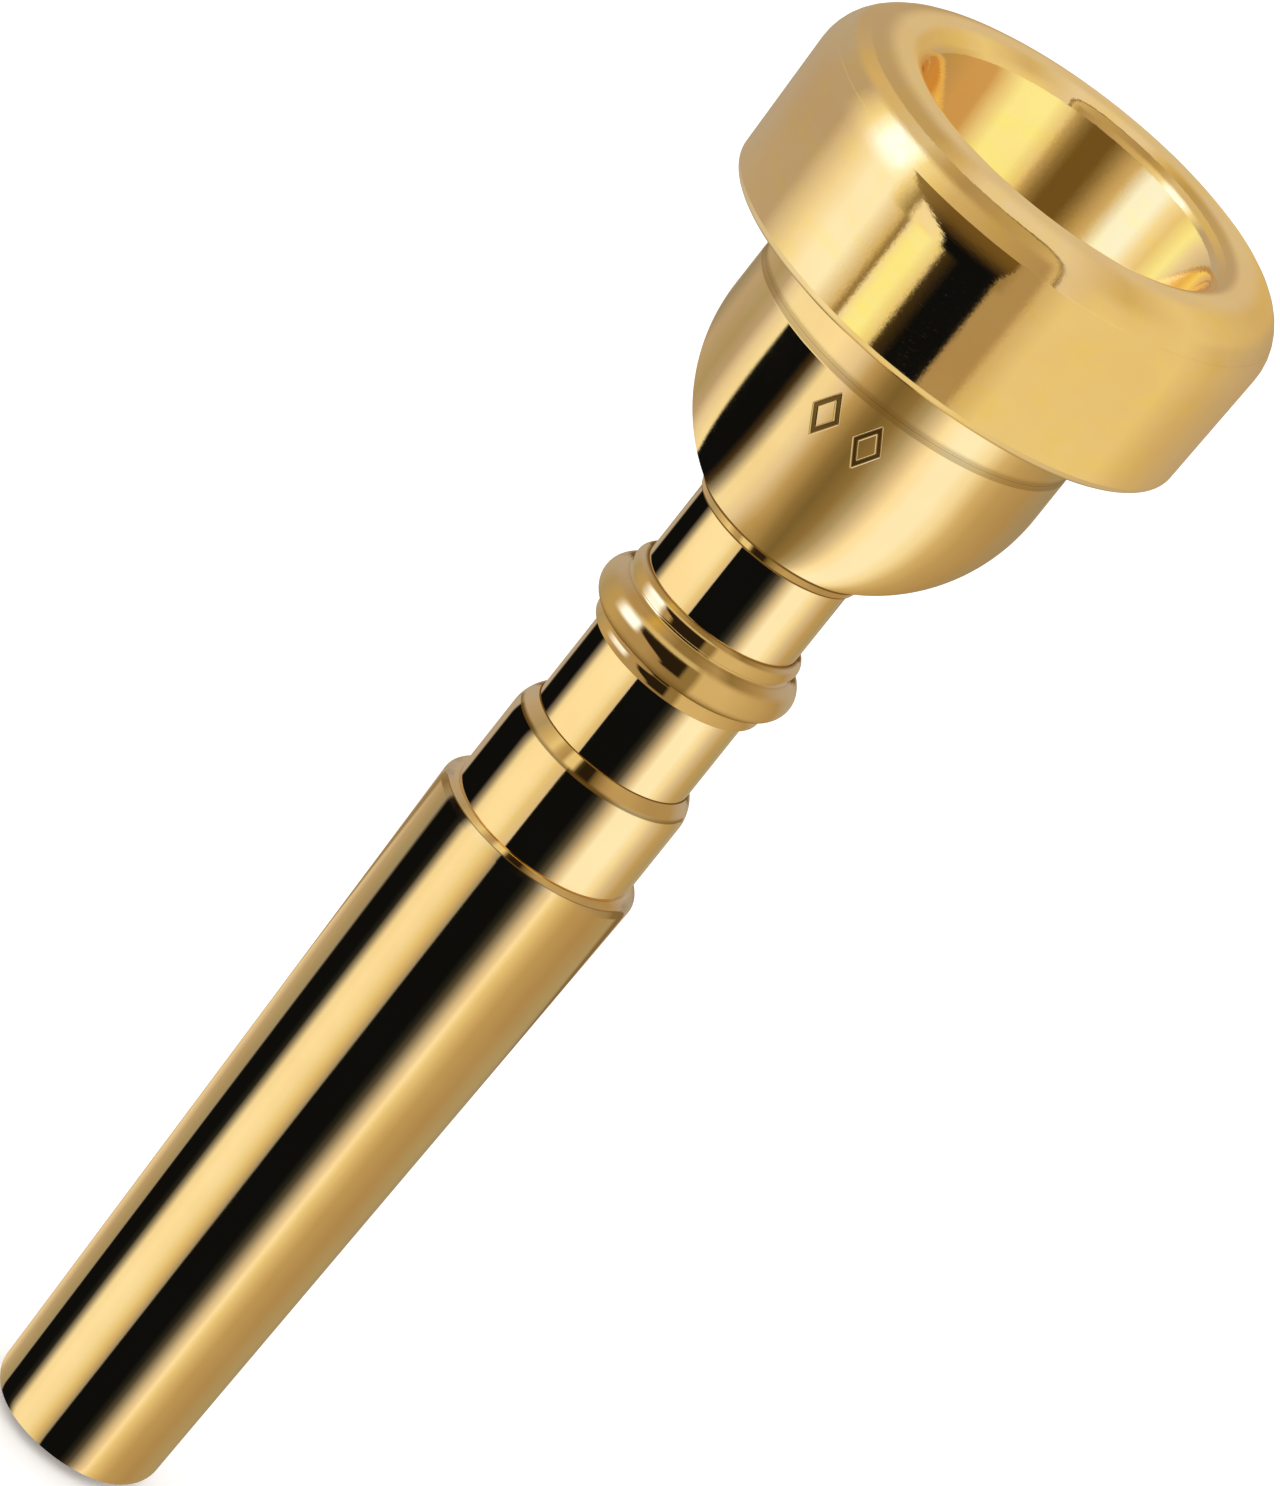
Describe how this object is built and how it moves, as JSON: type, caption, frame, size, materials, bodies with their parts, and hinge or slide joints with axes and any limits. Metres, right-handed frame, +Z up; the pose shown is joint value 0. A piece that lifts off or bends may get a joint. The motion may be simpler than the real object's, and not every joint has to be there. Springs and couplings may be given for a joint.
{
  "type": "screw-rim trumpet mouthpiece",
  "caption": "Trumpet mouthpiece with a screw-on rim, a rounded bowl, a threaded stem with a beaded ring and collar, and a tapered slip-on shank.",
  "frame": {"origin": "centre of the shank's open end face, on the bore axis", "axes": "+Z runs up the bore axis from the shank's end to the rim; the engraved marks on the bowl face -Y"},
  "size_m": [0.027, 0.027, 0.087],
  "materials": {
    "gold": "polished gold plate",
    "rim_gold": "satin gold plate",
    "seal": "matte",
    "rubber": "matte"
  },
  "bodies": {
    "cup_body": {"cup": "gold"},
    "seal_body": {"rim_seal": "seal"},
    "rim_body": {"rim": "rim_gold"},
    "ring_body": {"joint_ring": "gold"},
    "stem_body": {"stem": "gold", "bead_ring": "gold", "collar": "gold", "shank_o_rings": "rubber"},
    "shank_body": {"shank": "gold"}
  },
  "joints": [
    {"name": "rim_lift", "type": "slide", "parent": "cup_body", "child": "seal_body", "axis": [0, 0, 1], "range_m": [0, 0.00375]},
    {"name": "rim_turn", "type": "hinge", "parent": "seal_body", "child": "rim_body", "pos_m": [0, 0, 0.0788], "axis": [0, 0, 1], "range_deg": [0, 1801]},
    {"name": "stem_travel", "type": "slide", "parent": "cup_body", "child": "ring_body", "axis": [0, 0, -1], "range_m": [0, 0.00562]},
    {"name": "stem_turn", "type": "hinge", "parent": "ring_body", "child": "stem_body", "pos_m": [0, 0, 0.0655], "axis": [0, 0, -1], "range_deg": [0, 2701]},
    {"name": "shank_slide", "type": "slide", "parent": "stem_body", "child": "shank_body", "axis": [0, 0, -1], "range_m": [0, 0.014]}
  ],
  "couplings": [
    {"joint": "rim_turn", "follows": "rim_lift", "rad_per_m": 8377.6},
    {"joint": "stem_turn", "follows": "stem_travel", "rad_per_m": 8377.6}
  ]
}
